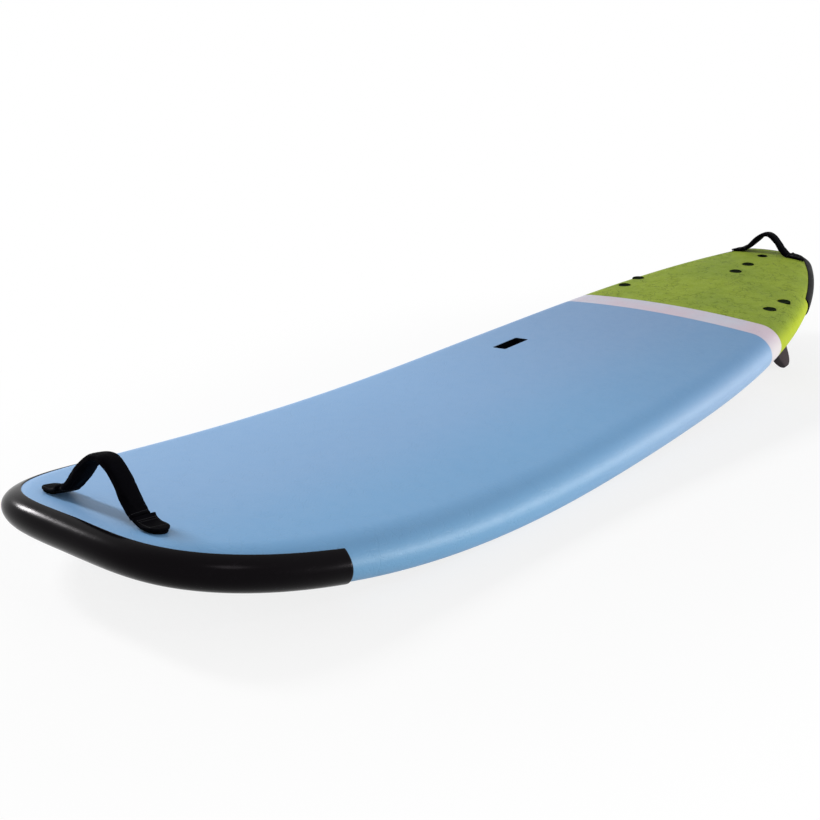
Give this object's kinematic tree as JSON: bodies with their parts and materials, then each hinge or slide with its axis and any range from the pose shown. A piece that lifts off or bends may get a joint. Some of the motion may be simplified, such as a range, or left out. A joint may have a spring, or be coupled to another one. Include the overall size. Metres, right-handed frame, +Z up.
{
  "type": "soft-top surfboard",
  "caption": "Long soft-top surfboard: crowned foam deck wrapped over the rails, cross stripe, rubber nose and tail bumpers, strap handles, hand recess, leash plug and bolt-through fins.",
  "frame": {"origin": "centre of the bounding box's lowest face, at the level of the side fin tips and the belly that the board stands on", "axes": "+X to the nose, +Y to port, +Z up; the board is tipped nose-down until it rests on its side fins and belly"},
  "size_m": [2.4384, 0.596, 0.2782],
  "materials": {
    "foam": "white bead foam",
    "wood": "plain plywood",
    "blue": "matte closed-cell foam skin, soft blue",
    "stripe": "matte closed-cell foam skin, pale pinkish white",
    "green": "matte crackled foam skin, yellow green",
    "slick": "smooth polyethylene sheet, pale grey",
    "bumper": "glossy moulded rubber, black",
    "webbing": "woven webbing and padded cloth, black",
    "moulding": "fine-grained moulded plastic, black",
    "fin": "satin moulded plastic, dark grey",
    "brass": "machined",
    "steel": "drawn stainless"
  },
  "bodies": {
    "root": {"bottom_skin": "slick", "carry_recess": "moulding", "deck_skin_front": "blue", "deck_skin_stripe": "stripe", "deck_skin_tail": "green", "fin_centre": "fin", "fin_centre_front_bolt": "moulding", "fin_centre_front_insert": "brass", "fin_centre_front_sleeve": "moulding", "fin_centre_rear_bolt": "moulding", "fin_centre_rear_insert": "brass", "fin_centre_rear_sleeve": "moulding", "fin_port": "fin", "fin_port_front_bolt": "moulding", "fin_port_front_insert": "brass", "fin_port_front_sleeve": "moulding", "fin_port_rear_bolt": "moulding", "fin_port_rear_insert": "brass", "fin_port_rear_sleeve": "moulding", "fin_starboard": "fin", "fin_starboard_front_bolt": "moulding", "fin_starboard_front_insert": "brass", "fin_starboard_front_sleeve": "moulding", "fin_starboard_rear_bolt": "moulding", "fin_starboard_rear_insert": "brass", "fin_starboard_rear_sleeve": "moulding", "foam_core_middle": "foam", "foam_core_port": "foam", "foam_core_starboard": "foam", "leash_pin": "steel", "leash_plug": "moulding", "nose_bumper": "bumper", "nose_handle_sleeve": "webbing", "nose_handle_strap": "webbing", "nose_handle_tab_port": "webbing", "nose_handle_tab_starboard": "webbing", "stringer_port": "wood", "stringer_starboard": "wood", "tail_bumper": "bumper", "tail_handle_sleeve": "webbing", "tail_handle_strap": "webbing", "tail_handle_tab_port": "webbing", "tail_handle_tab_starboard": "webbing"}
  },
  "joints": []
}
